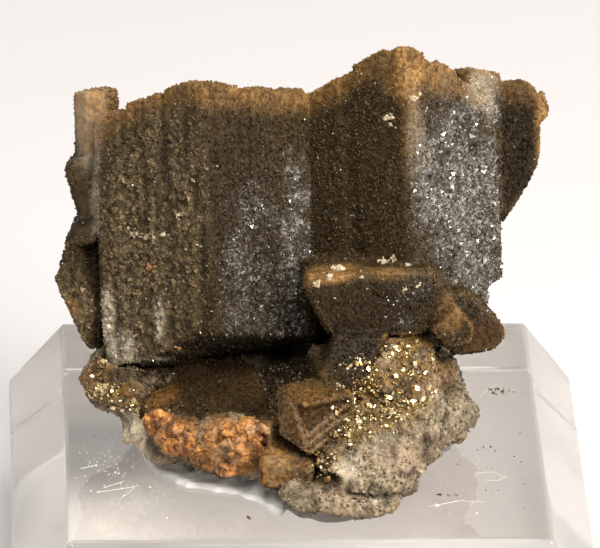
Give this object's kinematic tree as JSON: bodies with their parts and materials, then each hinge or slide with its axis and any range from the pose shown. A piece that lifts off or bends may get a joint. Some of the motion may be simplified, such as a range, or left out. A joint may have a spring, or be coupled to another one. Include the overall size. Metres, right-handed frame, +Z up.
{
  "type": "siderite specimen",
  "caption": "Mineral specimen on its display block: dark brown siderite rhombohedra on grey rock, fixed with white putty to a clear bevelled square block.",
  "frame": {"origin": "centre of the display block's underside", "axes": "+Z up from the block's underside, -Y towards the front of the specimen, +X to the right as seen from the front"},
  "size_m": [0.0508, 0.0508, 0.0564],
  "materials": {
    "clear_plastic": "polished clear",
    "white_putty": "waxy",
    "grey_rock": "rough, granular",
    "siderite": "frosted with fine sparkling crystals"
  },
  "bodies": {
    "root": {"display_block": "clear_plastic", "mounting_putty": "white_putty", "matrix": "grey_rock", "siderite_crystals": "siderite"}
  },
  "joints": []
}
